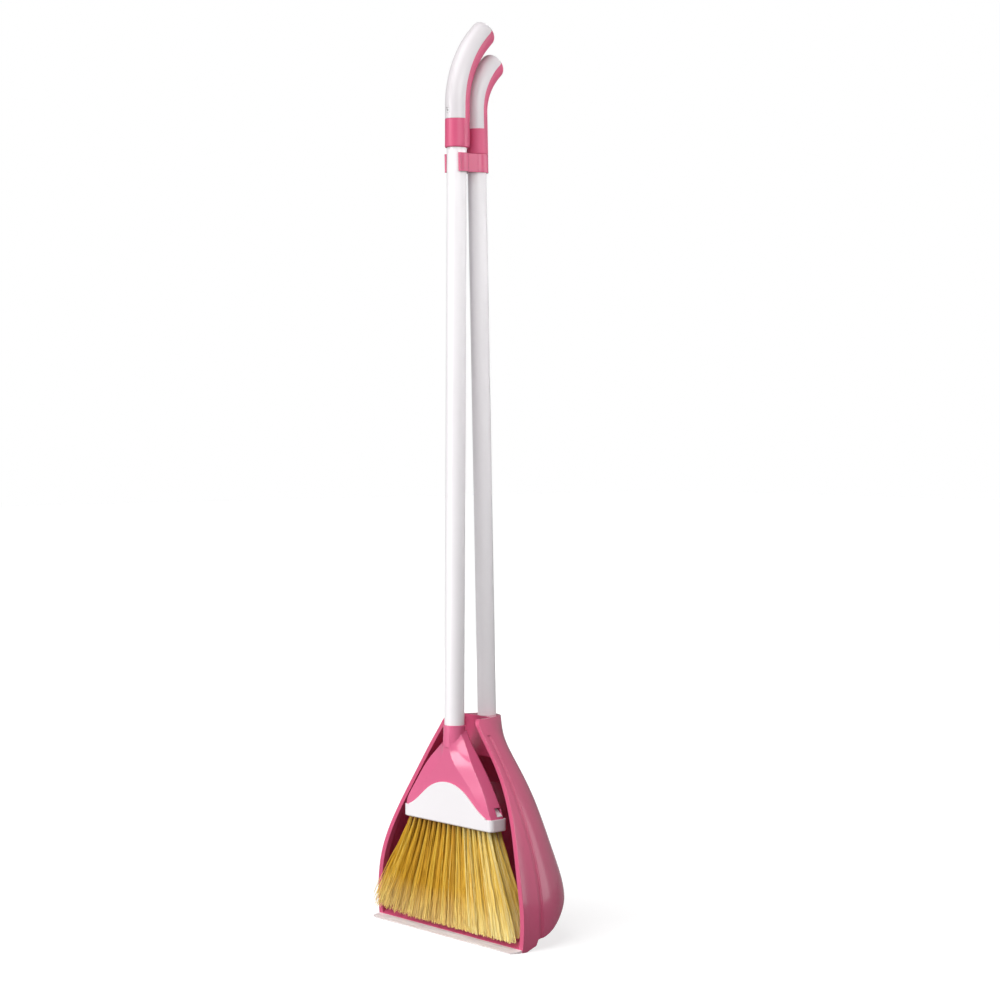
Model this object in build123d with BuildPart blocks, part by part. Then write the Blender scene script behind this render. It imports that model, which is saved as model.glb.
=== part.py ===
from build123d import *
from math import cos, hypot, radians, sin
import os

# A long-handled dustpan that stands upright, with a broom that nests in the pan's mouth and
# snaps into a clip on the pan's tube. Millimetres, +Z up, the mouth faces -Y. The origin is in
# the middle of the narrow flat land under the pan's front edge.

os.makedirs("parts", exist_ok=True)

# ---------------------------------------------------------------- driving dimensions

# Pan
pan_width = 236.0  # across the outside of the mouth at the floor
pan_top = 217.0  # height of the open top edge
pan_depth = 75.0  # from the mouth's front edge to the deepest point of the bowl
pan_wall = 2.4
rim_width = 6.0  # face width of the stiffened rim round the mouth
rim_depth = 6.0
rim_front = -3.0  # the rim's lowest front edge, so that the origin is on the flat land
rim_upright = 52.0  # the rim is upright up to this height, then leans back
rim_lean_back = 16.0
side_depth = 22.0  # from the rim to the fold where the bowl starts to bulge
side_hollow = 1.2  # how far the side wall is dished between rim and fold
land_depth = 6.0
foot_depth = 17.0
foot_rise = 5.0
bowl_step = 6.0  # the bowl's underside is this much above the back of the foot
sill_height = 3.0
nose_round = 7.0  # at the top of the rim
heel_spacing = 90.0  # between the two heel ribs
heel_width = 3.2
heel_reach = 60.0  # how far back the heel ribs meet the floor
neck_radius = 11.8
socket_depth = 38.0

# Lip
lip_reach = 12.0
lip_root = 2.6
lip_edge = 0.9
lip_tongue = 4.0
lip_tongue_height = 1.0

# Tubes
broom_tube_radius = 10.0
pan_tube_radius = 9.4
tube_wall = 0.9
broom_neck_top = 210.0
broom_tube_low_y = 4.9
broom_tube_high_y = 8.4
pan_tube_low_y = 47.4
tube_spacing = 26.0  # between the tubes' centres at the clip
clip_height = 18.4
clip_middle = 773.8  # height of the clip's middle

# Clip
clip_wall = 2.0
clip_bead_radius = 1.5  # the jaws end in a bead that leads the tube in
clip_clearance = 0.3
clip_mouth_half_angle = 66.0
clip_bridge = 17.0

# Grips
grip_gap = 5.0  # from the clip's top to the broom's ferrule
grip_wall = 2.0
broom_ferrule = 28.5  # height of the ring that takes the tube
pan_ferrule = 25.5
grip_floor = 3.0  # closes the ferrule above the tube
grip_straight = 42.0
grip_seam = 0.5  # the shell reaches this far behind the grip's middle
grip_screw_rise = 8.0  # the screw is this far above the ferrule
grip_tip_round = 8.0
grip_foot_round = 1.2
bend_steps = 4
broom_grip_half_width = 12.0
broom_grip_half_depth = 12.7
broom_grip_end_half_width = 11.6
broom_grip_end_half_depth = 13.4
broom_grip_shift = 0.6  # the grip's centre is this far behind the tube's
broom_grip_bend = 102.0
broom_grip_turn = 43.0
broom_grip_tail = 15.0
pan_grip_half_width = 10.8
pan_grip_half_depth = 11.0
pan_grip_end_half_width = 11.4
pan_grip_end_half_depth = 13.0
pan_grip_shift = 0.8
pan_grip_bend = 64.0
pan_grip_turn = 47.0
pan_grip_tail = 9.5
fit = 0.1  # clearance between pieces that are pushed together
screw_radius = 1.6
screw_head_radius = 2.9
screw_head = 2.0
screw_length = 16.0

# Broom head
block_width = 140.0
block_front = -6.0
block_depth = 22.5
block_bottom = 111.0
block_height = 12.0
block_corner = 5.0
panel_rise = 30.0  # height of the arched front panel above the block
panel_half_width = 61.0
panel_thickness = 1.4
cover_wall = 2.2
cover_corner = 3.5
broom_neck_radius = 11.1
stud_radius = 7.0
stud_length = 24.0
insert_length = 30.0
tab_width = 7.0
tab_height = 8.0
tab_drop = 2.2  # the tab's window is this far above the block
tab_y = 8.5
tab_inner_x = 57.0
tab_reach = 67.2
tab_wall = 2.0
plug_width = 100.0
plug_depth = 12.0
plug_height = 8.0

# Bristles
tuft_row_spacing = 6.6
tufts_in_row = 17
tuft_pitch = 7.6
tuft_radius = 2.1
tuft_depth = 8.0  # how deep a tuft sits in the block
tip_half_width = 5.9
tip_half_depth = 4.3
anchor_length = 5.0
anchor_height = 1.8
anchor_thickness = 0.5

# ---------------------------------------------------------------- derived places

half_width = pan_width / 2
pan_back = rim_front + pan_depth
fold_y = rim_front + side_depth
rim_back_y = rim_front + rim_lean_back

# Each tube leans a little, so its pieces are placed from a plane across its lower end.
broom_axis = Plane(
    origin=(0, broom_tube_low_y, broom_neck_top),
    x_dir=(1, 0, 0),
    z_dir=(0, broom_tube_high_y - broom_tube_low_y, clip_middle - broom_neck_top),
)
pan_tube_high_y = broom_tube_high_y + tube_spacing
pan_axis = Plane(
    origin=(0, pan_tube_low_y, pan_top),
    x_dir=(1, 0, 0),
    z_dir=(0, pan_tube_high_y - pan_tube_low_y, clip_middle - pan_top),
)
broom_clip_rise = hypot(broom_tube_high_y - broom_tube_low_y, clip_middle - broom_neck_top)
pan_clip_rise = hypot(pan_tube_high_y - pan_tube_low_y, clip_middle - pan_top)
lip_length = pan_width - 8.0
neck_screw_drop = 14.0
neck_screw_seat = Plane(
    origin=pan_axis.from_local_coords((0, neck_radius, -neck_screw_drop)),
    x_dir=(1, 0, 0),
    z_dir=pan_axis.y_dir,
)

# ---------------------------------------------------------------- pan body

# Stations up the bowl: share of the height, of the half width and of the depth behind the fold,
# and how square the corner is (0.71 is a true quarter ellipse).
bowl_stations = (
    (0.00, 0.98, 0.93, 0.80),
    (0.10, 0.998, 0.98, 0.83),
    (0.24, 0.98, 1.01, 0.85),
    (0.40, 0.905, 0.96, 0.82),
    (0.555, 0.785, 0.91, 0.79),
    (0.69, 0.645, 0.85, 0.765),
    (0.82, 0.48, 0.79, 0.71),
    (0.935, 0.31, 0.76, 0.68),
    (1.05, 0.18, 0.75, 0.66),
)
foot_back = rim_front + foot_depth
bowl_front = foot_back + 2.0  # where the bowl's underside starts, behind the foot's step
bowl_bottom = foot_rise + bowl_step
heel_of_bowl = 0.28 * pan_top  # the back wall is upright from here
ramp_slope = (bowl_bottom + pan_wall - sill_height) / (bowl_front - rim_front)
over_top = pan_top * 1.04
groove_top = pan_top * 0.93
lean_end = pan_top * 0.82  # the rim leans back between rim_upright and here


def bowl_outlines(inset):
    """Plan outlines of the bowl from the floor up, each drawn inset from the outside."""
    outlines = []
    for height_share, width_share, depth_share, square in bowl_stations:
        side = half_width * width_share - inset
        back = fold_y + (pan_back - fold_y) * depth_share - inset
        front = rim_front - rim_width
        with BuildSketch(Plane.XY.offset(pan_top * height_share)) as outline:
            with BuildLine():
                Line((0, front), (side, front))
                ThreePointArc(
                    (side, front),
                    (side - side_hollow, (front + fold_y) / 2),
                    (side, fold_y),
                )
                Spline(
                    (side, fold_y),
                    (side * square, fold_y + (back - fold_y) * square),
                    (0, back),
                    tangents=((0, 1), (-1, 0)),
                )
                mirror(about=Plane.YZ)
            make_face()
        outlines.append(outline.sketch)
    return outlines


def rim_curve(shift, low, high):
    """Draws the mouth's front edge as seen from the side, moved back by shift."""
    Line((rim_front + shift, low), (rim_front + shift, rim_upright))
    Spline(
        (rim_front + shift, rim_upright),
        (rim_back_y + shift, lean_end),
        tangents=((0, 1), (0, 1)),
    )
    Line((rim_back_y + shift, lean_end), (rim_back_y + shift, high))


def underside(lift):
    """Draws the bowl's underside from behind the foot to the back wall, moved in by lift."""
    reach = pan_back - fold_y
    rise = heel_of_bowl - bowl_bottom
    Spline(
        (bowl_front, bowl_bottom + lift),
        (fold_y + 0.45 * reach - 0.4 * lift, bowl_bottom + 0.24 * rise + lift),
        (fold_y + 0.78 * reach - 0.7 * lift, bowl_bottom + 0.54 * rise + 0.7 * lift),
        (pan_back - lift, heel_of_bowl),
        tangents=((1, 0.15), (0, 1)),
    )


def ramp(y):
    """Height of the ramp that leads from the sill up into the bowl."""
    return sill_height + ramp_slope * (y - rim_front)


with BuildPart() as pan_hollow:
    loft(sections=bowl_outlines(pan_wall))
    roof_front = pan_tube_low_y - pan_tube_radius - pan_wall
    with BuildSketch(Plane.YZ):
        with BuildLine():
            rim_curve(rim_depth, ramp(rim_front + rim_depth), over_top)
            Polyline(
                (rim_back_y + rim_depth, over_top),
                (roof_front, over_top),
                (roof_front, pan_top - socket_depth - pan_wall),
                (pan_back, pan_top * 0.62),
                (pan_back, heel_of_bowl),
                (pan_back - pan_wall, heel_of_bowl),
            )
            underside(pan_wall)
            Line(
                (bowl_front, bowl_bottom + pan_wall),
                (rim_front + rim_depth, ramp(rim_front + rim_depth)),
            )
        make_face()
    extrude(amount=pan_width, both=True, mode=Mode.INTERSECT)

with BuildPart() as pan_mouth:
    loft(sections=bowl_outlines(rim_width))
    mouth_back = rim_depth + 1.0
    with BuildSketch(Plane.YZ):
        with BuildLine():
            rim_curve(mouth_back, ramp(rim_front + mouth_back), over_top)
            Polyline(
                (rim_back_y + mouth_back, over_top),
                (rim_front - 2 * rim_width, over_top),
                (rim_front - 2 * rim_width, sill_height),
                (rim_front, sill_height),
                (rim_front + mouth_back, ramp(rim_front + mouth_back)),
            )
        make_face()
    extrude(amount=pan_width, both=True, mode=Mode.INTERSECT)

# Creases down both sides, where the rim's band meets the bowl: a shallow step, then a deeper one.
fold_creases = []
for crease_width, crease_depth in ((5.0, 0.4), (2.2, 1.1)):
    with BuildPart() as crease:
        loft(sections=bowl_outlines(-1))
        loft(sections=bowl_outlines(crease_depth), mode=Mode.SUBTRACT)
        with BuildSketch(Plane.YZ):
            with Locations((fold_y, (foot_rise + groove_top) / 2)):
                Rectangle(crease_width, groove_top - foot_rise)
        extrude(amount=pan_width, both=True, mode=Mode.INTERSECT)
    fold_creases.append(crease.part)

with BuildPart() as pan_body:
    loft(sections=bowl_outlines(0))
    with BuildSketch(Plane.YZ):
        with BuildLine():
            rim_curve(0, 0, pan_top - nose_round)
            TangentArc(
                (rim_back_y, pan_top - nose_round),
                (rim_back_y + nose_round, pan_top),
                tangent=(0, 1),
            )
            Polyline(
                (rim_back_y + nose_round, pan_top),
                (pan_back + pan_wall, pan_top),
                (pan_back + pan_wall, heel_of_bowl),
                (pan_back, heel_of_bowl),
            )
            underside(0)
            Polyline(
                (bowl_front, bowl_bottom),
                (foot_back, foot_rise),
                (rim_front + land_depth, 0),
                (rim_front, 0),
            )
        make_face()
    extrude(amount=pan_width, both=True, mode=Mode.INTERSECT)
    for crease_cut in fold_creases:
        add(crease_cut, mode=Mode.SUBTRACT)
    # heel ribs under the bowl, which let the pan stand
    for side in (-1, 1):
        with BuildSketch(Plane.YZ.offset(side * heel_spacing / 2)):
            with BuildLine():
                Polyline(
                    (foot_back, foot_rise),
                    (foot_back + foot_rise, 0),
                    (heel_reach, 0),
                    (heel_reach + 4, heel_of_bowl),
                    (foot_back, heel_of_bowl),
                    close=True,
                )
            make_face()
        extrude(amount=heel_width / 2, both=True)
    # neck that carries the tube
    with BuildSketch(pan_axis.offset(-socket_depth - 4 * pan_wall)):
        Circle(neck_radius + 1.5)
    extrude(amount=socket_depth + 4 * pan_wall + 8, taper=1)
    split(bisect_by=Plane.XY.offset(pan_top), keep=Keep.BOTTOM)
    add(pan_hollow.part, mode=Mode.SUBTRACT)
    add(pan_mouth.part, mode=Mode.SUBTRACT)
    # socket for the tube
    with BuildSketch(pan_axis.offset(-socket_depth)):
        Circle(pan_tube_radius + fit / 2)
    extrude(amount=socket_depth * 2, mode=Mode.SUBTRACT)
    # slot along the sill for the lip's tongue
    with BuildSketch(Plane.XZ.offset(-rim_front)):
        with Locations((0, lip_root / 2)):
            Rectangle(lip_length + fit, lip_tongue_height + fit)
    extrude(amount=-(lip_tongue + fit), mode=Mode.SUBTRACT)
    # screw hole and its flat seat in the back of the neck
    with BuildSketch(neck_screw_seat):
        Circle(screw_radius + fit / 2)
    extrude(amount=-screw_length, mode=Mode.SUBTRACT)
    with BuildSketch(neck_screw_seat):
        Circle(screw_head_radius + 4 * fit)
    extrude(amount=screw_length, mode=Mode.SUBTRACT)
pan_body.part.label = "pan_body"
export_step(pan_body.part, "parts/pan_body.step")

# ---------------------------------------------------------------- lip

with BuildPart() as pan_lip:
    with BuildSketch(Plane.YZ):
        with BuildLine():
            Polyline(
                (rim_front - lip_reach, 0),
                (rim_front, 0),
                (rim_front, (lip_root - lip_tongue_height) / 2),
                (rim_front + lip_tongue, (lip_root - lip_tongue_height) / 2),
                (rim_front + lip_tongue, (lip_root + lip_tongue_height) / 2),
                (rim_front, (lip_root + lip_tongue_height) / 2),
                (rim_front, lip_root),
                (rim_front - lip_reach, lip_edge),
                close=True,
            )
        make_face()
    extrude(amount=lip_length / 2, both=True)
    front_corners = pan_lip.edges().filter_by(Axis.Z).group_by(Axis.Y)[0]
    chamfer(front_corners, length=lip_reach * 0.6, length2=lip_reach * 0.3)
pan_lip.part.label = "pan_lip"
export_step(pan_lip.part, "parts/pan_lip.step")

# ---------------------------------------------------------------- pan tube and what holds it

pan_ferrule_foot = pan_clip_rise + clip_height / 2

with BuildPart() as pan_tube:
    with BuildSketch(pan_axis.offset(-socket_depth)):
        Circle(pan_tube_radius)
        Circle(pan_tube_radius - tube_wall, mode=Mode.SUBTRACT)
    extrude(amount=socket_depth + pan_ferrule_foot + pan_ferrule - grip_floor)
    with BuildSketch(neck_screw_seat):
        Circle(screw_radius + fit / 2)
    extrude(amount=-neck_radius, mode=Mode.SUBTRACT)
pan_tube.part.label = "pan_tube"
export_step(pan_tube.part, "parts/pan_tube.step")

with BuildPart() as pan_tube_plug:
    with BuildSketch(pan_axis.offset(-socket_depth)):
        Circle(pan_tube_radius - tube_wall - fit / 2)
    extrude(amount=socket_depth * 0.8)
    fillet(pan_tube_plug.edges().filter_by(GeomType.CIRCLE), radius=1)
    with BuildSketch(neck_screw_seat):
        Circle(screw_radius + fit / 2)
    extrude(amount=-screw_length, mode=Mode.SUBTRACT)
pan_tube_plug.part.label = "pan_tube_plug"
export_step(pan_tube_plug.part, "parts/pan_tube_plug.step")


def screw(seat):
    """A pan-head screw whose head sits on the seat plane and points out along its normal."""
    with BuildPart() as made:
        with BuildSketch(seat):
            Circle(screw_head_radius)
        extrude(amount=screw_head)
        fillet(made.edges().group_by(Axis((0, 0, 0), seat.z_dir))[-1], radius=screw_head * 0.45)
        with BuildSketch(seat.offset(screw_head)):
            Rectangle(screw_head_radius * 1.1, screw_head_radius * 0.28)
            Rectangle(screw_head_radius * 0.28, screw_head_radius * 1.1)
        extrude(amount=-screw_head / 2, mode=Mode.SUBTRACT)
        with BuildSketch(seat):
            Circle(screw_radius)
        extrude(amount=-screw_length)
    return made.part


neck_screw = screw(neck_screw_seat)
neck_screw.label = "pan_tube_screw"
export_step(neck_screw, "parts/pan_tube_screw.step")

# ---------------------------------------------------------------- clip

ring_inner = broom_tube_radius + clip_clearance
ring_outer = ring_inner + clip_wall
mouth_x = sin(radians(clip_mouth_half_angle))
mouth_y = cos(radians(clip_mouth_half_angle))
clip_foot = pan_axis.offset(pan_clip_rise - clip_height / 2)

with BuildPart() as broom_clip:
    with BuildSketch(clip_foot):
        with Locations((0, pan_grip_shift)):
            Ellipse(pan_grip_half_width, pan_grip_half_depth)
        with Locations((0, -tube_spacing)):
            Circle(ring_outer)
        with Locations((0, -tube_spacing / 2)):
            Rectangle(clip_bridge, tube_spacing)
        with BuildLine():
            Polyline(
                (0, -tube_spacing),
                (3 * ring_outer * mouth_x, -tube_spacing - 3 * ring_outer * mouth_y),
                (-3 * ring_outer * mouth_x, -tube_spacing - 3 * ring_outer * mouth_y),
                close=True,
            )
        make_face(mode=Mode.SUBTRACT)
        bead_ring = ring_inner + clip_bead_radius + fit
        with Locations(
            (bead_ring * mouth_x, -tube_spacing - bead_ring * mouth_y),
            (-bead_ring * mouth_x, -tube_spacing - bead_ring * mouth_y),
        ):
            Circle(clip_bead_radius)
        Circle(pan_tube_radius + fit / 2, mode=Mode.SUBTRACT)
    extrude(amount=clip_height)
    with BuildSketch(broom_axis.offset(broom_clip_rise - clip_height)):
        Circle(ring_inner)
    extrude(amount=2 * clip_height, mode=Mode.SUBTRACT)
broom_clip.part.label = "broom_clip"
export_step(broom_clip.part, "parts/broom_clip.step")

# ---------------------------------------------------------------- grips


def across_grip(foot, bend, turn):
    """Plane across a grip's centre line, after turning through an angle round its bend."""
    angle = radians(turn)
    up = grip_straight + bend * sin(angle)
    back = bend * (1 - cos(angle))
    return Plane(
        origin=foot.from_local_coords((0, back, up)),
        x_dir=foot.x_dir,
        z_dir=foot.z_dir * cos(angle) + foot.y_dir * sin(angle),
    )


def oval(plane, half_width, half_depth):
    """An oval whose seam runs down the middle of the grip's back."""
    with BuildSketch(plane) as outline:
        Ellipse(half_depth, half_width, rotation=90)
    return outline.sketch


def bent_outlines(foot, bend, turn, low, high, inset):
    """Ovals round a grip's bend, growing smoothly from the low half sizes to the high ones."""
    outlines = []
    for step in range(bend_steps + 1):
        share = step / bend_steps
        growth = share * share * (3 - 2 * share)
        half_width = low[0] + (high[0] - low[0]) * growth - inset
        half_depth = low[1] + (high[1] - low[1]) * growth - inset
        outlines.append(oval(across_grip(foot, bend, turn * share), half_width, half_depth))
    return outlines


def grip_screw_seat(foot, ferrule, low):
    """Where the screw's head sits, sunk in the front of the shell a little above the ferrule."""
    return Plane(
        origin=foot.from_local_coords((0, screw_head * 1.1 - low[1], ferrule + grip_screw_rise)),
        x_dir=foot.x_dir,
        z_dir=foot.y_dir * -1,
    )


def grip_pieces(foot, ferrule, bend, turn, tail, low, high, bore_radius, bore_shift):
    """A grip's two mouldings: the core, with the ferrule and the inner side, and the shell."""
    top = across_grip(foot, bend, turn)
    screw_seat = grip_screw_seat(foot, ferrule, low)
    with BuildPart() as form:
        extrude(oval(foot, low[0], low[1]), amount=grip_straight)
        loft(sections=bent_outlines(foot, bend, turn, low, high, 0))
        extrude(oval(top, high[0], high[1]), amount=tail)
        tail_rim = form.edges().group_by(Axis(top.origin, top.z_dir))[-1]
        fillet(tail_rim, radius=grip_tip_round)
        foot_rim = form.edges().group_by(Axis(foot.origin, foot.z_dir))[0]
        fillet(foot_rim, radius=grip_foot_round)
    with BuildPart() as hollow:
        floor = foot.offset(ferrule)
        extrude(oval(floor, low[0] - grip_wall, low[1] - grip_wall), amount=grip_straight - ferrule)
        loft(sections=bent_outlines(foot, bend, turn, low, high, grip_wall))
        extrude(oval(top, high[0] - grip_wall, high[1] - grip_wall), amount=tail / 2)
        with BuildSketch(screw_seat):
            Circle(screw_head_radius + grip_wall)
        extrude(amount=3 * bore_radius, both=True, mode=Mode.SUBTRACT)
    with BuildPart() as outer_side:
        with BuildSketch(Plane(origin=foot.origin, x_dir=foot.y_dir, z_dir=foot.x_dir)):
            with BuildLine():
                Line((grip_seam, ferrule), (grip_seam, grip_straight))
                turned = CenterArc((bend, grip_straight), bend - grip_seam, 180, -turn)
                tail_end = turned @ 1 + turned % 1 * (3 * tail)
                Polyline(
                    turned @ 1,
                    tail_end,
                    (tail_end.X, 2 * tail_end.Y),
                    (-bend, 2 * tail_end.Y),
                    (-bend, ferrule),
                    (grip_seam, ferrule),
                )
            make_face()
        extrude(amount=3 * bore_radius, both=True)
    with BuildPart() as core:
        add(form.part)
        add(hollow.part, mode=Mode.SUBTRACT)
        add(outer_side.part, mode=Mode.SUBTRACT)
        with BuildSketch(foot):
            with Locations((0, bore_shift)):
                Circle(bore_radius + fit / 2)
        extrude(amount=ferrule - grip_floor, mode=Mode.SUBTRACT)
        with BuildSketch(screw_seat):
            Circle(screw_radius + fit / 2)
        extrude(amount=-screw_length, mode=Mode.SUBTRACT)
    with BuildPart() as shell:
        add(form.part)
        add(hollow.part, mode=Mode.SUBTRACT)
        add(outer_side.part, mode=Mode.INTERSECT)
        with BuildSketch(screw_seat):
            Circle(screw_radius + fit / 2)
        extrude(amount=-screw_length, mode=Mode.SUBTRACT)
        with BuildSketch(screw_seat):
            Circle(screw_head_radius + 2 * fit)
        extrude(amount=bore_radius, mode=Mode.SUBTRACT)
    return core.part, shell.part


broom_grip_foot = Plane(
    origin=broom_axis.from_local_coords(
        (0, broom_grip_shift, broom_clip_rise + clip_height / 2 + grip_gap)
    ),
    x_dir=broom_axis.x_dir,
    z_dir=broom_axis.z_dir,
)
broom_grip_core, broom_grip_shell = grip_pieces(
    broom_grip_foot,
    broom_ferrule,
    broom_grip_bend,
    broom_grip_turn,
    broom_grip_tail,
    (broom_grip_half_width, broom_grip_half_depth),
    (broom_grip_end_half_width, broom_grip_end_half_depth),
    broom_tube_radius,
    -broom_grip_shift,
)
broom_grip_core.label = "broom_grip_core"
export_step(broom_grip_core, "parts/broom_grip_core.step")
broom_grip_shell.label = "broom_grip_shell"
export_step(broom_grip_shell, "parts/broom_grip_shell.step")
broom_grip_screw = screw(
    grip_screw_seat(broom_grip_foot, broom_ferrule, (broom_grip_half_width, broom_grip_half_depth))
)
broom_grip_screw.label = "broom_grip_screw"
export_step(broom_grip_screw, "parts/broom_grip_screw.step")

pan_grip_foot = Plane(
    origin=pan_axis.from_local_coords((0, pan_grip_shift, pan_ferrule_foot)),
    x_dir=pan_axis.x_dir,
    z_dir=pan_axis.z_dir,
)
pan_grip_core, pan_grip_shell = grip_pieces(
    pan_grip_foot,
    pan_ferrule,
    pan_grip_bend,
    pan_grip_turn,
    pan_grip_tail,
    (pan_grip_half_width, pan_grip_half_depth),
    (pan_grip_end_half_width, pan_grip_end_half_depth),
    pan_tube_radius,
    -pan_grip_shift,
)
pan_grip_core.label = "pan_grip_core"
export_step(pan_grip_core, "parts/pan_grip_core.step")
pan_grip_shell.label = "pan_grip_shell"
export_step(pan_grip_shell, "parts/pan_grip_shell.step")
pan_grip_screw = screw(
    grip_screw_seat(pan_grip_foot, pan_ferrule, (pan_grip_half_width, pan_grip_half_depth))
)
pan_grip_screw.label = "pan_grip_screw"
export_step(pan_grip_screw, "parts/pan_grip_screw.step")

# ---------------------------------------------------------------- broom tube and its insert

with BuildPart() as broom_tube:
    with BuildSketch(broom_axis):
        Circle(broom_tube_radius)
        Circle(broom_tube_radius - tube_wall, mode=Mode.SUBTRACT)
    extrude(amount=broom_clip_rise + clip_height / 2 + grip_gap + broom_ferrule - grip_floor)
broom_tube.part.label = "broom_tube"
export_step(broom_tube.part, "parts/broom_tube.step")

with BuildPart() as broom_tube_insert:
    with BuildSketch(broom_axis):
        Circle(broom_tube_radius - tube_wall - fit / 2)
    extrude(amount=insert_length)
    chamfer(broom_tube_insert.edges().group_by(Axis.Z)[-1], length=1)
    with BuildSketch(broom_axis):
        Circle(stud_radius)
    extrude(amount=-stud_length)
    chamfer(broom_tube_insert.edges().group_by(Axis.Z)[0], length=1)
broom_tube_insert.part.label = "broom_tube_insert"
export_step(broom_tube_insert.part, "parts/broom_tube_insert.step")

# ---------------------------------------------------------------- broom head

block_top = block_bottom + block_height
# Up the cover: height, half width of the front face, widest half width, its place, front, back.
cover_stations = (
    (block_top, 59.5, 67.8, -3.4, block_front + panel_thickness, 15.4),
    (145.0, 41.0, 55.8, -2.4, block_front + panel_thickness, 15.5),
    (161.0, 24.0, 44.3, -1.3, block_front + panel_thickness, 15.6),
    (178.0, 8.0, 30.0, 1.0, -5.1, 15.8),
    (190.0, 5.0, 19.2, 4.4, -5.5, 16.0),
    (204.0, 3.0, 10.0, 3.0, -6.0, 15.9),
)


def cover_outlines(stations, wall):
    """Eight-sided outlines up the head cover, drawn inset by the wall."""
    outlines = []
    for height, crease_x, side_x, side_y, front_y, back_y in stations:
        side_x -= wall * 1.1
        crease_x -= wall * 0.7
        front_y += wall
        back_y -= wall
        side_y += wall / 2
        corner = min(cover_corner, side_x / 2)
        with BuildSketch(Plane.XY.offset(height)) as outline:
            with BuildLine():
                Polyline(
                    (-crease_x, front_y),
                    (crease_x, front_y),
                    (side_x, side_y),
                    (side_x, back_y - corner),
                    (side_x - corner, back_y),
                    (corner - side_x, back_y),
                    (-side_x, back_y - corner),
                    (-side_x, side_y),
                    close=True,
                )
            make_face()
        outlines.append(outline.sketch)
    return outlines


with BuildPart() as broom_head_cover:
    loft(sections=cover_outlines(cover_stations, 0))
    # flat behind the block's panel
    with BuildSketch(Plane.XY.offset(block_top)):
        with Locations((0, block_front)):
            Rectangle(block_width, 2 * panel_thickness)
    extrude(amount=panel_rise + 4, mode=Mode.SUBTRACT)
    with BuildSketch(broom_axis):
        Circle(broom_neck_radius)
    extrude(amount=cover_stations[4][0] - broom_neck_top - 2)
    loft(sections=cover_outlines(cover_stations[:4], cover_wall), mode=Mode.SUBTRACT)
    with BuildSketch(broom_axis):
        Circle(stud_radius + fit / 2)
    extrude(amount=-(stud_length + 1), mode=Mode.SUBTRACT)
    with BuildSketch(Plane.XY.offset(block_top + tab_drop)):
        with Locations((0, tab_y)):
            Rectangle(block_width + 10, tab_width + 3 * fit)
            Rectangle(2 * tab_inner_x, tab_width + 1, mode=Mode.SUBTRACT)
    extrude(amount=tab_height + 2 * fit, mode=Mode.SUBTRACT)
broom_head_cover.part.label = "broom_head_cover"
export_step(broom_head_cover.part, "parts/broom_head_cover.step")

# One slim cone per tuft: straight in the block, then spread into an oval at the tip.
tuft_mid_y = block_front + block_depth / 2
root_reach = (tufts_in_row - 1) / 2 * tuft_pitch
row_shifts = (-tuft_row_spacing, 0, tuft_row_spacing)
# For each row, its tips' place, their height, and the room left between the fan and the pan's side.
row_tips = ((-7.0, 6.0, 9.0), (6.0, 11.2, 13.0), (15.0, 15.0, 16.0))


def tuft_outline(height, x, y, half_x, half_y):
    """An eight-sided oval across one tuft."""
    turns = [radians(45 * corner + 22.5) for corner in range(8)]
    with BuildSketch(Plane.XY.offset(height)) as outline:
        with BuildLine():
            Polyline(*[(x + half_x * cos(turn), y + half_y * sin(turn)) for turn in turns], close=True)
        make_face()
    return outline.sketch


def tuft_row(shift, tip_y, tip_z, room):
    """A row of tufts, each with the slot of its wire anchor cut out."""
    spread = (half_width - room - tip_half_width) / root_reach
    root_y = tuft_mid_y + shift
    with BuildPart() as row:
        for step in range(tufts_in_row):
            root_x = step * tuft_pitch - root_reach
            root = tuft_outline(block_bottom, root_x, root_y, tuft_radius, tuft_radius)
            tip = tuft_outline(tip_z, root_x * spread, tip_y, tip_half_width, tip_half_depth)
            loft(sections=[root, tip], ruled=True)
            extrude(root, amount=tuft_depth)
    return row.part - anchor_row(shift)


def anchor_row(shift):
    """The flat wire anchors across the bottom of one row's holes."""
    with BuildPart() as row:
        with Locations((0, tuft_mid_y + shift, block_bottom + tuft_depth - anchor_height / 2)):
            with GridLocations(tuft_pitch, 1, tufts_in_row, 1):
                Box(anchor_length, anchor_thickness, anchor_height)
    return row.part


bristles = [tuft_row(shift, *tip) for shift, tip in zip(row_shifts, row_tips)]
for name, row in zip(("bristles_front", "bristles_middle", "bristles_rear"), bristles):
    row.label = name
    export_step(row, f"parts/{name}.step")

with BuildPart() as tuft_anchors:
    for shift in row_shifts:
        add(anchor_row(shift))
tuft_anchors.part.label = "tuft_anchors"
export_step(tuft_anchors.part, "parts/tuft_anchors.step")

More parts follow.
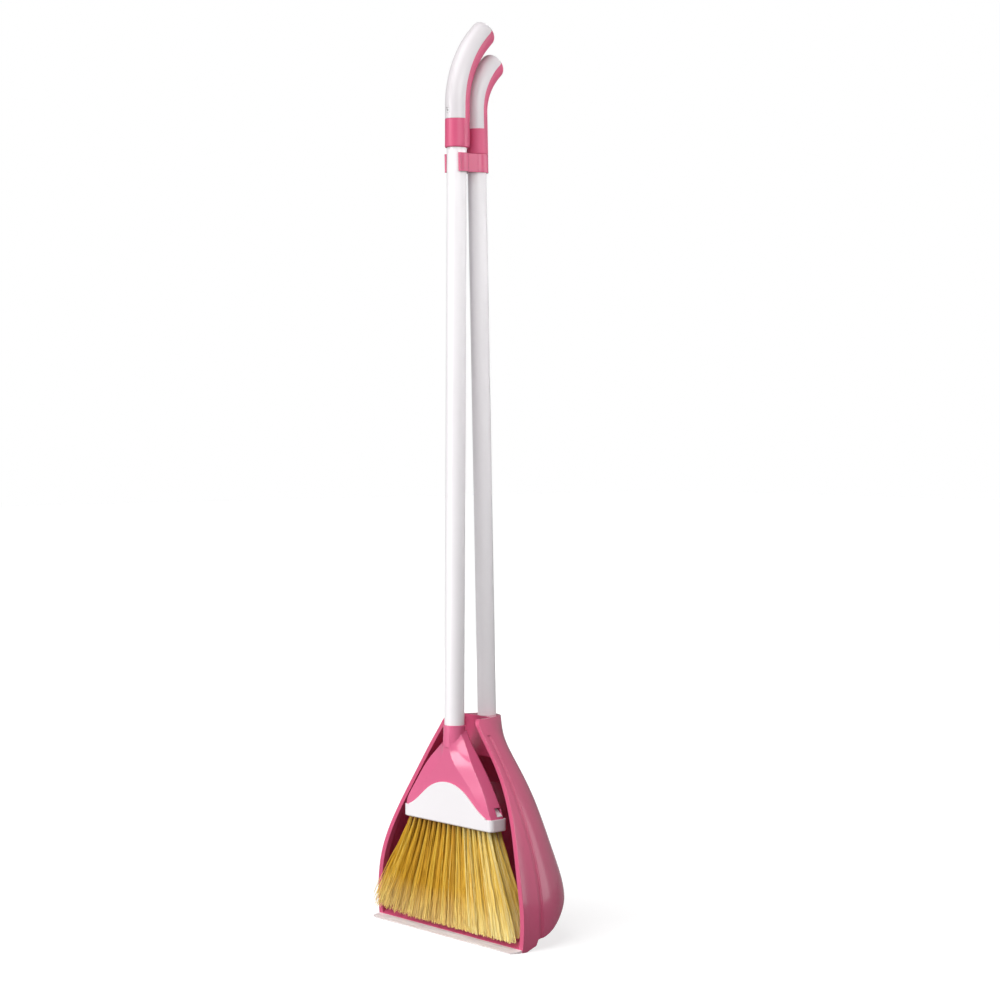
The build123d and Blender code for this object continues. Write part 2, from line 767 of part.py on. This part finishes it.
with BuildPart() as bristle_block:
    with BuildSketch(Plane.XY.offset(block_bottom)):
        with Locations((0, tuft_mid_y)):
            RectangleRounded(block_width, block_depth, block_corner)
    extrude(amount=block_height)
    chamfer(bristle_block.edges().group_by(Axis.Z)[0], length=1)
    # arched panel in front of the cover
    with BuildSketch(Plane.XZ.offset(-block_front)):
        with BuildLine():
            Polyline(
                (-panel_half_width, block_top + 1),
                (-panel_half_width, block_top - 4),
                (panel_half_width, block_top - 4),
                (panel_half_width, block_top + 1),
            )
            Spline(
                (panel_half_width, block_top + 1),
                (panel_half_width * 0.74, block_top + panel_rise * 0.33),
                (panel_half_width * 0.46, block_top + panel_rise * 0.74),
                (0, block_top + panel_rise),
                (-panel_half_width * 0.46, block_top + panel_rise * 0.74),
                (-panel_half_width * 0.74, block_top + panel_rise * 0.33),
                (-panel_half_width, block_top + 1),
            )
        make_face()
    extrude(amount=-(panel_thickness - fit))
    # frame and snap tabs inside the cover
    with BuildSketch(Plane.XY.offset(block_top)):
        with Locations((0, tuft_mid_y)):
            Rectangle(plug_width, plug_depth)
            Rectangle(plug_width - 2 * cover_wall, plug_depth - 2 * cover_wall, mode=Mode.SUBTRACT)
    extrude(amount=plug_height)
    with BuildSketch(Plane.XZ.offset(-tab_y)):
        with BuildLine():
            Polyline(
                (tab_inner_x - tab_wall, block_top - 1),
                (tab_inner_x, block_top - 1),
                (tab_inner_x, block_top + tab_drop + fit),
                (tab_reach, block_top + tab_drop + fit),
                (tab_inner_x, block_top + tab_drop + tab_height),
                (tab_inner_x - tab_wall, block_top + tab_drop + tab_height),
                close=True,
            )
        make_face()
        mirror(about=Plane.YZ)
    extrude(amount=tab_width / 2, both=True)
    for row in bristles:
        add(row, mode=Mode.SUBTRACT)
    add(tuft_anchors.part, mode=Mode.SUBTRACT)
bristle_block.part.label = "bristle_block"
export_step(bristle_block.part, "parts/bristle_block.step")
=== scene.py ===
import bpy
import numpy as np
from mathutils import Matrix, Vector


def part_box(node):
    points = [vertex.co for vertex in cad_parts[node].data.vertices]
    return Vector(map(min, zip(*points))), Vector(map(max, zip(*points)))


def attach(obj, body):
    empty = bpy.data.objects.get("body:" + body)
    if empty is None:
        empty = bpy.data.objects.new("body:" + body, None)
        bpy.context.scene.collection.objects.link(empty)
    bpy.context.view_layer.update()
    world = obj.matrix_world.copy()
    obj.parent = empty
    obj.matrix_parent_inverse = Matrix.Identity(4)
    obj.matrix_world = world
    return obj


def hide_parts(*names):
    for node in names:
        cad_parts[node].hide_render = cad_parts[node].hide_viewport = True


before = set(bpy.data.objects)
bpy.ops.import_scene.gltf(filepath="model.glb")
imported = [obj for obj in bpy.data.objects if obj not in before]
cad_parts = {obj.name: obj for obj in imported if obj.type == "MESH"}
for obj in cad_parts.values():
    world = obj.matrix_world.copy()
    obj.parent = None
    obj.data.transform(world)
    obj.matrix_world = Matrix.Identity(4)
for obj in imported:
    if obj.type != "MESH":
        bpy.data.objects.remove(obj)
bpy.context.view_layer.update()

# ---------------------------------------------------------------- dust pan
# One polypropylene moulding: bowl, rim, ramp, foot and the neck that takes the handle.
# Its mould is polished, so it reflects the lights, with the faint waviness of a thin wall.


def linear(hex_colour):
    """sRGB hex to linear RGBA: the sRGB curve undone on each channel."""
    values = [int(hex_colour[i:i + 2], 16) / 255 for i in (1, 3, 5)]
    return tuple(v / 12.92 if v <= 0.04045 else ((v + 0.055) / 1.055) ** 2.4 for v in values) + (1.0,)


def add_node(tree, kind, inputs=None, links=None, stops=(), **settings):
    """Adds a node: settings, sockets' values, links from other nodes' outputs, a ramp's colour stops."""
    made = tree.nodes.new(kind)
    for name, value in settings.items():
        setattr(made, name, value)
    for name, value in (inputs or {}).items():
        made.inputs[name].default_value = value
    for name, output in (links or {}).items():
        tree.links.new(output, made.inputs[name])
    if stops:
        ramp = made.color_ramp.elements
        while len(ramp) < len(stops):
            ramp.new(0.5)
        for element, (position, colour) in zip(ramp, stops):
            element.position = position
            element.color = linear(colour)
    return made


def bare_material(name):
    """A material with an empty node tree."""
    material = bpy.data.materials.new(name)
    material.use_nodes = True
    material.node_tree.nodes.clear()
    return material, material.node_tree


def moulded_plastic(name, colour, shade, roughness, coat, grain_mm, wave_mm):
    """
    A moulded polymer. Noise three waves long clouds its colour and its gloss, and its face has the
    slow waves of a thin wall and a fine mould grain, each of its own size in millimetres.
    """
    edge_radius = 0.0008
    cloud_mm = 3 * wave_mm
    smoothest = roughness * 0.85
    roughest = roughness * 1.2
    material, tree = bare_material(name)
    place = add_node(tree, "ShaderNodeTexCoord").outputs["Object"]
    cloud = add_node(tree, "ShaderNodeTexNoise", {"Scale": 1000 / cloud_mm, "Detail": 3.0},
                     {"Vector": place}).outputs["Fac"]
    tint = add_node(tree, "ShaderNodeValToRGB", links={"Fac": cloud}, stops=((0.3, shade), (0.7, colour)))
    gloss = add_node(tree, "ShaderNodeMapRange",
                     {"From Min": 0.3, "From Max": 0.7, "To Min": smoothest, "To Max": roughest},
                     {"Value": cloud})
    rounded = add_node(tree, "ShaderNodeBevel", {"Radius": edge_radius}, samples=6)
    wave = add_node(tree, "ShaderNodeTexNoise", {"Scale": 1000 / wave_mm, "Detail": 1.0},
                    {"Vector": place})
    slow = add_node(tree, "ShaderNodeBump", {"Strength": 0.15, "Distance": 0.0006},
                    {"Height": wave.outputs["Fac"], "Normal": rounded.outputs["Normal"]})
    grain = add_node(tree, "ShaderNodeTexNoise", {"Scale": 1000 / grain_mm, "Detail": 2.0},
                     {"Vector": place})
    fine = add_node(tree, "ShaderNodeBump", {"Strength": 0.08, "Distance": 0.0001},
                    {"Height": grain.outputs["Fac"], "Normal": slow.outputs["Normal"]})
    shader = add_node(tree, "ShaderNodeBsdfPrincipled",
                      {"IOR": 1.49, "Coat Weight": coat, "Coat Roughness": 0.08},
                      {"Base Color": tint.outputs["Color"], "Roughness": gloss.outputs["Result"],
                       "Normal": fine.outputs["Normal"]})
    add_node(tree, "ShaderNodeOutputMaterial", links={"Surface": shader.outputs["BSDF"]})
    return material


def finish_node(name, material):
    """Gives a CAD node its material in every slot."""
    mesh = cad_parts[name].data
    for slot in range(len(mesh.materials)):
        mesh.materials[slot] = material
    if not mesh.materials:
        mesh.materials.append(material)


# Glossy pink polypropylene: an even, slightly cloudy pink with clear highlights, set darker than the
# cover's copy as painted shade.
pink_polypropylene = moulded_plastic("pink_polypropylene", "#d1597e", "#c74f75", 0.22, 0.3, 0.5, 38)
finish_node("pan_body", pink_polypropylene)

# ---------------------------------------------------------------- lip
# A strip of soft clear PVC, whose tongue is pushed into a groove in the pan's front edge. It is
# milky from its thickness, and lets a little light through.

# Extruded PVC: faint long streaks from the die, and a soft uneven gloss.
streak_length_mm = 25
streak_width_mm = 2.5
streak_scale = (1000 / streak_length_mm, 1000 / streak_width_mm, 1000 / streak_width_mm)
soft_pvc, tree = bare_material("clear_soft_pvc")
place = add_node(tree, "ShaderNodeTexCoord").outputs["Object"]
streaks = add_node(tree, "ShaderNodeMapping", {"Scale": streak_scale}, {"Vector": place})
milky = add_node(tree, "ShaderNodeTexNoise", {"Scale": 1.0, "Detail": 2.0},
                 {"Vector": streaks.outputs["Vector"]}).outputs["Fac"]
tint = add_node(tree, "ShaderNodeValToRGB", links={"Fac": milky},
                stops=((0.35, "#ebdedf"), (0.65, "#faf4f4")))
matt = add_node(tree, "ShaderNodeMapRange", {"To Min": 0.22, "To Max": 0.4}, {"Value": milky})
drawn = add_node(tree, "ShaderNodeBump", {"Strength": 0.2, "Distance": 0.0001}, {"Height": milky})
shader = add_node(tree, "ShaderNodeBsdfPrincipled", {"IOR": 1.5, "Transmission Weight": 0.12},
                  {"Base Color": tint.outputs["Color"], "Roughness": matt.outputs["Result"],
                   "Normal": drawn.outputs["Normal"]})
add_node(tree, "ShaderNodeOutputMaterial", links={"Surface": shader.outputs["BSDF"]})
finish_node("pan_lip", soft_pvc)

# ---------------------------------------------------------------- the pan's handle tube
# Thin steel tube drawn to size and sleeved in white plastic film, with a plug and a screw
# holding its foot in the pan's neck.

# Shrunk plastic film: plain white with an even, soft sheen that runs the tube's whole length.
white_sleeve = moulded_plastic("white_plastic_sleeve", "#ece9eb", "#e6e2e5", 0.33, 0.2, 0.8, 120)

# Undyed polypropylene, out of sight inside the tubes: a dull, waxy off-white.
natural_polypropylene = moulded_plastic("natural_polypropylene", "#d8d6d0", "#cfccc4", 0.5, 0.0, 0.6, 30)

# Zinc plating: bright, in small crystals seen as patches of slightly different roughness.
zinc_plated_steel, tree = bare_material("zinc_plated_steel")
place = add_node(tree, "ShaderNodeTexCoord").outputs["Object"]
crystal_mm = 0.8
crystals = add_node(tree, "ShaderNodeTexVoronoi", {"Scale": 1000 / crystal_mm},
                    {"Vector": place}).outputs["Distance"]
tint = add_node(tree, "ShaderNodeValToRGB", links={"Fac": crystals},
                stops=((0.0, "#c9c9cb"), (1.0, "#a9aaae")))
gloss = add_node(tree, "ShaderNodeMapRange", {"To Min": 0.22, "To Max": 0.4}, {"Value": crystals})
shader = add_node(tree, "ShaderNodeBsdfPrincipled", {"Metallic": 1.0},
                  {"Base Color": tint.outputs["Color"], "Roughness": gloss.outputs["Result"]})
add_node(tree, "ShaderNodeOutputMaterial", links={"Surface": shader.outputs["BSDF"]})

finish_node("pan_tube", white_sleeve)
finish_node("pan_tube_plug", natural_polypropylene)
finish_node("pan_tube_screw", zinc_plated_steel)

# ---------------------------------------------------------------- clip
# A collar on the pan's tube with a sprung C that holds the broom's tube.
# It is moulded in the pan's plastic.

finish_node("broom_clip", pink_polypropylene)

# ---------------------------------------------------------------- hand grips
# Each grip is a pink core with the ferrule, and a satin white shell over its front.
# A white lacquered screw through the shell holds both to the tube.

# Both are moulded with a satin face for the hand, so that their highlights are broad and dim.
satin_polypropylene = moulded_plastic("satin_pink_polypropylene", "#cf557b", "#c64c72",
                                      0.42, 0.0, 0.5, 38)
white_abs = moulded_plastic("white_abs", "#d6d1d4", "#d0cbce", 0.33, 0.1, 0.5, 60)

# White lacquer over steel: a small, bright head that almost vanishes against the shell.
white_lacquer = moulded_plastic("white_lacquered_steel", "#e6e3e5", "#dddadc", 0.25, 0.4, 0.2, 8)

for owner in ("pan", "broom"):
    finish_node(owner + "_grip_core", satin_polypropylene)
    finish_node(owner + "_grip_shell", white_abs)
    finish_node(owner + "_grip_screw", white_lacquer)

# ---------------------------------------------------------------- the broom's handle tube
# The same sleeved tube, a little thicker.
# A threaded plastic insert in its foot screws into the head.

finish_node("broom_tube", white_sleeve)
finish_node("broom_tube_insert", natural_polypropylene)

# ---------------------------------------------------------------- broom head
# A pink cover snapped over a white polypropylene block, whose arched panel shows in front.
# The block holds the tufts by flat wire anchors punched into its holes.

# The same glossy polypropylene as the pan's: this paler copy and the pan's darker one are painted light
# and shade.
cover_pink_painted_lighter = moulded_plastic("pink_polypropylene_painted_lighter", "#dc698f", "#d45f87", 0.22, 0.3, 0.5, 38)

# White polypropylene: softer in its gloss than the cover that clasps it.
white_polypropylene = moulded_plastic("white_polypropylene", "#ebe8ea", "#e4e0e3", 0.3, 0.25, 0.5, 45)

# the cover's paler pink is painted light
finish_node("broom_head_cover", cover_pink_painted_lighter)
finish_node("bristle_block", white_polypropylene)
finish_node("tuft_anchors", zinc_plated_steel)

# ---------------------------------------------------------------- bristles
# Straw-coloured plastic fibres, folded over a wire anchor and punched into the block in tufts.
# They fan out towards the floor, a little crimped, with uneven split tips.

tufts_in_row = 17
tuft_pitch = 0.0076
row_spacing = 0.0066
fibres_in_tuft = 120
fibres_in_row = tufts_in_row * fibres_in_tuft
strands_in_tuft = 5  # the bundles that a tuft parts into
half_row = (tufts_in_row - 1) / 2
rings = 9  # along one fibre
fibre_root_radius = 0.00036
fibre_tip_radius = 0.00022
tuft_root_reach = 0.0019  # from the tuft's middle to its outer fibres
tuft_tip_reach = (0.0058, 0.0043)  # the same at the tip, along the row and across it
tuft_depth = 0.002  # in its hole
block_low, block_high = (np.array(corner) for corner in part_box("bristle_block"))
block_middle_y = (block_low[1] + block_high[1]) / 2

# a fibre's line leaves its root and meets its tip by these shares of its fall and sideways reach
root_bend = (0.30, 0.22)
tip_bend = (0.34, 0.30)
bend_scatter = 0.0012
crimp_height = 0.00042
crimp_turns = (16, 26)  # radians of the crimp's sine in one fibre

# wear of the tips, and the side of the row that it splays
tip_turn = 0.35  # radians that a tip strays round its tuft
tip_scatter = 0.0012
tip_wear = 0.0024  # mean height worn away
longest_below = 0.0016  # the longest tips, under their row's height
worn_from = 0.55  # of half the row
splay_shares = (0.5, 1.6)  # of the splay: for every fibre, and at most more on the worn side
splay_lift = 3.0  # most rise on the worn side, as a share of the splay

# the pan's ramp and sides: the tips stay inside them, or in front of the rim and within its width
lip_tongue = 0.004  # the part of the lip that is pushed into the ramp
ramp_edge_y = float(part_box("pan_lip")[1][1]) - lip_tongue
ramp_depth = 0.019
ramp_slope = 0.547
ramp_edge_height = 0.003
floor_gap = 0.0009
wall_and_gap = 0.005
rim_side_gap = 0.0009
rim_front_gap = 0.0014
pan_low, pan_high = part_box("pan_body")
pan_inside_x = pan_high[0] - wall_and_gap
before_rim_x = pan_high[0] - rim_side_gap
before_rim_y = pan_low[1] - rim_front_gap
side_scatter = 0.0007  # mean distance that keeps the held tips from lining up

# the dye's tone, from 0 for deep gold to 1 for pale straw, and its scatter
middle_tone = 0.5
batch_swing = 0.26
batch_turn = (-2.5, 1.4)  # radians of the swing's sine along the row
tuft_tone, strand_tone, fibre_tone = 0.05, 0.15, 0.14


def pan_floor(y):
    """Height of the pan's floor: a straight ramp up from its front edge, then the level bowl."""
    return ramp_edge_height + ramp_slope * np.clip(y - ramp_edge_y, 0.0, ramp_depth)


def fibre_ends(name, shift, tip_y, tip_z, splay, angle, rng):
    """
    Roots and tips of a row. A fibre starts at reach (cos a, sin a) from its tuft's root and ends
    near the same turn of the tuft's oval tip, which stands further out than the root by the spread.
    Tips on the worn side are splayed and lifted, more so towards the row's end.
    """
    spread = (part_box(name)[1][0] - tuft_tip_reach[0]) / (half_row * tuft_pitch)
    tuft = np.repeat(np.arange(tufts_in_row) - half_row, fibres_in_tuft)
    reach = np.sqrt(rng.uniform(0, 1, fibres_in_row))
    root = np.stack([
        tuft * tuft_pitch + tuft_root_reach * reach * np.cos(angle),
        block_middle_y + shift + tuft_root_reach * reach * np.sin(angle),
        np.full(fibres_in_row, block_low[2] + tuft_depth),
    ], axis=1)

    strayed = angle + rng.normal(0, tip_turn, (2, fibres_in_row))
    x = tuft * tuft_pitch * spread + tuft_tip_reach[0] * reach * np.cos(strayed[0])
    y = tip_y + tuft_tip_reach[1] * reach * np.sin(strayed[1])
    worn = np.clip(-tuft / half_row - worn_from, 0, 1) / (1 - worn_from)
    x += rng.normal(0, tip_scatter, fibres_in_row)
    x -= splay * (splay_shares[0] + rng.uniform(0, splay_shares[1], fibres_in_row) * worn)
    furthest = np.where(y < before_rim_y, before_rim_x, pan_inside_x)
    furthest -= rng.exponential(side_scatter, fibres_in_row)
    x = np.clip(x, -furthest, furthest)
    z = tip_z + rng.exponential(tip_wear, fibres_in_row) - longest_below
    z = np.maximum(z, pan_floor(y) + floor_gap)
    z += splay * rng.uniform(0, splay_lift, fibres_in_row) * worn
    return root, np.stack([x, y, z], axis=1)


def fibre_lines(root, tip, rng):
    """
    The line of each fibre is the cubic (1-t)^3 root + 3 (1-t)^2 t below + 3 (1-t) t^2 above
    + t^3 tip, which leaves the block steeply, plus a sine crimp that grows with the root of t.
    """
    fall = np.array([0, 0, 1]) * (root - tip)[:, 2:3]
    sideways = (tip - root) * np.array([1, 1, 0])
    below = root - root_bend[0] * fall + root_bend[1] * sideways
    above = tip + tip_bend[0] * fall - tip_bend[1] * sideways
    above[:, :2] += rng.normal(0, bend_scatter, (fibres_in_row, 2))
    t = np.linspace(0, 1, rings)[:, None, None]
    line = (1 - t) ** 3 * root + 3 * (1 - t) ** 2 * t * below
    line += 3 * (1 - t) * t ** 2 * above + t ** 3 * tip
    phase = rng.uniform(0, 2 * np.pi, (1, fibres_in_row))
    turns = rng.uniform(*crimp_turns, (1, fibres_in_row))
    crimp = crimp_height * np.sin(t[:, :, 0] * turns + phase) * t[:, :, 0] ** 0.5
    line[:, :, 0] += crimp
    line[:, :, 1] += crimp * np.cos(phase * 3)
    return line


def fibre_mesh(name, line):
    """
    A three-sided tube round each line, its corners at line + radius (cos a, sin a, 0) for three
    angles a, with a radius that thins towards the tip. A triangle closes each end.
    """
    sides = np.arange(3) * 2 * np.pi / 3
    corners = np.stack([np.cos(sides), np.sin(sides), np.zeros(3)], axis=1)
    t = np.linspace(0, 1, rings)[:, None, None, None]
    radius = fibre_root_radius + (fibre_tip_radius - fibre_root_radius) * t
    points = line[:, :, None, :] + radius * corners
    # the axes run ring, fibre, corner, and are turned to fibre, ring, corner for the faces
    points = points.transpose(1, 0, 2, 3).reshape(-1, 3)
    first = (np.arange(fibres_in_row) * rings * 3)[:, None, None]
    ring = first + (np.arange(rings - 1) * 3)[None, :, None]
    corner = ring + np.arange(3)
    next_corner = ring + (np.arange(3) + 1) % 3
    quads = np.stack([corner, corner + 3, next_corner + 3, next_corner], axis=-1).reshape(-1, 4)
    caps = np.concatenate([
        first[:, 0] + np.array([[0, 1, 2]]),
        first[:, 0] + (rings - 1) * 3 + np.array([[2, 1, 0]]),
    ])
    mesh = bpy.data.meshes.new(name)
    mesh.from_pydata(points.tolist(), [], quads.tolist() + caps.tolist())
    return mesh


def fibre_tones(angle, rng):
    """
    One tone per fibre: its tuft's batch, which swings as a sine along the row, with a scatter for
    the tuft, for the strand that the fibre's angle puts it in, and for the fibre.
    """
    batch = middle_tone + batch_swing * np.sin(np.linspace(*batch_turn, tufts_in_row))
    batch += rng.normal(0, tuft_tone, tufts_in_row)
    of_strand = rng.normal(0, strand_tone, tufts_in_row * strands_in_tuft)
    strand = np.floor(angle / (2 * np.pi) * strands_in_tuft).astype(int)
    strand += np.repeat(np.arange(tufts_in_row) * strands_in_tuft, fibres_in_tuft)
    tone = np.repeat(batch, fibres_in_tuft) + of_strand[strand] + rng.normal(0, fibre_tone, fibres_in_row)
    return np.clip(tone, 0, 1)


# Straw-gold PET fibre: drawn smooth, and paler at the worn tips. Next to the block it is painted dark
# brown as painted shade.
straw_fibre, tree = bare_material("straw_pet_fibre")
dye_tone = add_node(tree, "ShaderNodeAttribute", attribute_name="tone").outputs["Fac"]
root_to_tip = add_node(tree, "ShaderNodeAttribute", attribute_name="along").outputs["Fac"]
dyed = add_node(tree, "ShaderNodeValToRGB", links={"Fac": dye_tone},
                stops=((0.0, "#9e6400"), (0.3, "#d6960a"), (0.62, "#e9c54c"), (1.0, "#fdf3b4")))
# along the fibre: nearly black at the block as painted shade, then gold, and pale at the worn tips
worn = add_node(tree, "ShaderNodeValToRGB", links={"Fac": root_to_tip},
                stops=((0.0, "#2e2202"), (0.17, "#c2980c"), (0.66, "#e3b41c"), (0.95, "#fff0a4")))
# a Mix node's colours are its inputs 6 and 7 and its output 2
both = add_node(tree, "ShaderNodeMix", {"Factor": 0.42},
                {6: dyed.outputs["Color"], 7: worn.outputs["Color"]}, data_type="RGBA")
shader = add_node(tree, "ShaderNodeBsdfPrincipled", {"IOR": 1.45, "Roughness": 0.5},
                  {"Base Color": both.outputs[2]})
add_node(tree, "ShaderNodeOutputMaterial", links={"Surface": shader.outputs["BSDF"]})

# row's node, shift from the block's middle, tips' place and height, splay, seed
bristle_rows = (
    ("bristles_front", -row_spacing, -0.0065, 0.0098, 0.0055, 11),
    ("bristles_middle", 0.0, 0.006, 0.0122, 0.0, 12),
    ("bristles_rear", row_spacing, 0.015, 0.0155, 0.0, 13),
)
for row_name, shift, tip_y, tip_z, splay, seed in bristle_rows:
    rng = np.random.default_rng(seed)
    angle = rng.uniform(0, 2 * np.pi, fibres_in_row)
    root, tip = fibre_ends(row_name, shift, tip_y, tip_z, splay, angle, rng)
    mesh = fibre_mesh(row_name, fibre_lines(root, tip, rng))
    along = np.tile(np.repeat(np.linspace(0, 1, rings), 3), fibres_in_row)
    tone = np.repeat(fibre_tones(angle, rng), rings * 3)
    for label, values in (("along", along), ("tone", tone)):
        mesh.attributes.new(label, "FLOAT", "POINT").data.foreach_set("value", values.astype(np.float32))
    mesh.materials.append(straw_fibre)
    fibres = bpy.data.objects.new(row_name + "_fibres", mesh)
    bpy.context.scene.collection.objects.link(fibres)
    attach(fibres, "broom")
    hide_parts(row_name)

# ---------------------------------------------------------------- studio
# A white painted floor in a white room, with soft light from overhead. A large soft box stands
# in front on the left, a tall one behind on the right, a fill behind on the left, and two
# small ones high on the right for the handles.

floor_half = 12.0
floor_mesh = bpy.data.meshes.new("floor")
corners = [(x * floor_half, y * floor_half, 0) for x, y in ((-1, -1), (1, -1), (1, 1), (-1, 1))]
floor_mesh.from_pydata(corners, [], [(0, 1, 2, 3)])
floor = bpy.data.objects.new("floor", floor_mesh)
bpy.context.scene.collection.objects.link(floor)

# White paint, faintly patchy. It is white to look at and partly lit from within, and grey for
# the light it throws back, so that undersides keep their shade.
patch_mm = 667
lit_share = 0.6
painted, tree = bare_material("pale_floor")
place = add_node(tree, "ShaderNodeTexCoord").outputs["Object"]
cloud = add_node(tree, "ShaderNodeTexNoise", {"Scale": 1000 / patch_mm},
                 {"Vector": place}).outputs["Fac"]
seen = add_node(tree, "ShaderNodeLightPath").outputs["Is Camera Ray"]
white = add_node(tree, "ShaderNodeValToRGB", links={"Fac": cloud},
                 stops=((0.3, "#f7f7f7"), (0.7, "#f9f9f9")))
paint = add_node(tree, "ShaderNodeMix", {6: linear("#a3a3a3")}, {0: seen, 7: white.outputs["Color"]},
                 data_type="RGBA")
lit = add_node(tree, "ShaderNodeBsdfDiffuse", links={"Color": paint.outputs[2]})
glow = add_node(tree, "ShaderNodeEmission", {"Strength": 1.2})
share = add_node(tree, "ShaderNodeMath", {1: lit_share}, {0: seen}, operation="MULTIPLY")
mixed = add_node(tree, "ShaderNodeMixShader",
                 links={0: share.outputs["Value"], 1: lit.outputs["BSDF"], 2: glow.outputs["Emission"]})
add_node(tree, "ShaderNodeOutputMaterial", links={"Surface": mixed.outputs["Shader"]})
floor.data.materials.append(painted)

# The room is white to look at. In reflections it is white on the right and grey on the left,
# and as a light it is dim.
room = bpy.data.worlds.new("studio")
room.use_nodes = True
tree = room.node_tree
tree.nodes.clear()
ray = add_node(tree, "ShaderNodeLightPath").outputs
heading = add_node(tree, "ShaderNodeTexCoord").outputs["Generated"]
across = add_node(tree, "ShaderNodeSeparateXYZ", links={0: heading}).outputs["X"]
mirrored = add_node(tree, "ShaderNodeMapRange",
                    {"From Min": -0.5, "From Max": 0.6, "To Min": 0.2, "To Max": 1.0},
                    {"Value": across}).outputs["Result"]
# a Mix node's numbers are its inputs 2 and 3 and its output 0
cast = add_node(tree, "ShaderNodeMix", {2: 0.22}, {0: ray["Is Glossy Ray"], 3: mirrored}).outputs[0]
strength = add_node(tree, "ShaderNodeMix", {3: 1.0}, {0: ray["Is Camera Ray"], 2: cast}).outputs[0]
walls = add_node(tree, "ShaderNodeBackground", {"Color": (1.0, 1.0, 1.0, 1.0)}, {"Strength": strength})
add_node(tree, "ShaderNodeOutputWorld", links={"Surface": walls.outputs["Background"]})
bpy.context.scene.world = room

# soft light from above and in front
overhead_from = Vector((0.1, -0.6, 0.75))
overhead_lamp = bpy.data.lights.new("overhead", "SUN")
overhead_lamp.energy = 2.3
overhead_lamp.angle = 0.9
overhead = bpy.data.objects.new("overhead", overhead_lamp)
bpy.context.scene.collection.objects.link(overhead)
overhead.rotation_euler = overhead_from.to_track_quat("Z", "Y").to_euler()


def soft_box(name, place, aim, width, height, watts, spread=np.pi):
    """A rectangular soft box at a place, turned to face the aim, its light held within the spread."""
    lamp = bpy.data.lights.new(name, "AREA")
    lamp.shape = "RECTANGLE"
    lamp.size = width
    lamp.size_y = height
    lamp.energy = watts
    lamp.spread = spread
    box = bpy.data.objects.new(name, lamp)
    bpy.context.scene.collection.objects.link(box)
    box.location = place
    box.rotation_euler = (Vector(aim) - Vector(place)).to_track_quat("-Z", "Y").to_euler()
    return box


# name, place, aim, width, height, watts and spread
soft_box("key", (-0.7, -2.5, 0.7), (0, 0, 0.25), 1.2, 1.4, 35)
soft_box("edge", (1.6, 1.9, 0.9), (0, 0, 0.6), 0.7, 1.8, 7)
soft_box("top", (1.8, -0.4, 1.3), (0, 0, 0.7), 1.3, 0.8, 1.35, 0.66)
# these two show in no gloss, so that they draw no line down the tubes' edges
soft_box("handles", (1.6, 1.9, 1.2), (0, 0, 0.85), 0.7, 0.6, 0.7, 0.4).visible_glossy = False
soft_box("rear", (-1.7, 2.2, 1.0), (0, 0, 0.4), 1.6, 1.6, 14).visible_glossy = False

# ---------------------------------------------------------------- camera
# A long lens, a little above half the set's height and turned to show the pan's front and its
# right side.

camera_place = Vector((1.7646, -1.4164, 0.5056))
camera_aim = Vector((0.0334, 0.0368, 0.4363))
camera_data = bpy.data.cameras.new("camera")
camera_data.lens = 81.36
camera_data.sensor_width = 36
camera = bpy.data.objects.new("camera", camera_data)
bpy.context.scene.collection.objects.link(camera)
camera.location = camera_place
camera.rotation_euler = (camera_aim - camera_place).to_track_quat("-Z", "Y").to_euler()
bpy.context.scene.camera = camera
bpy.context.scene.view_settings.view_transform = "Standard"
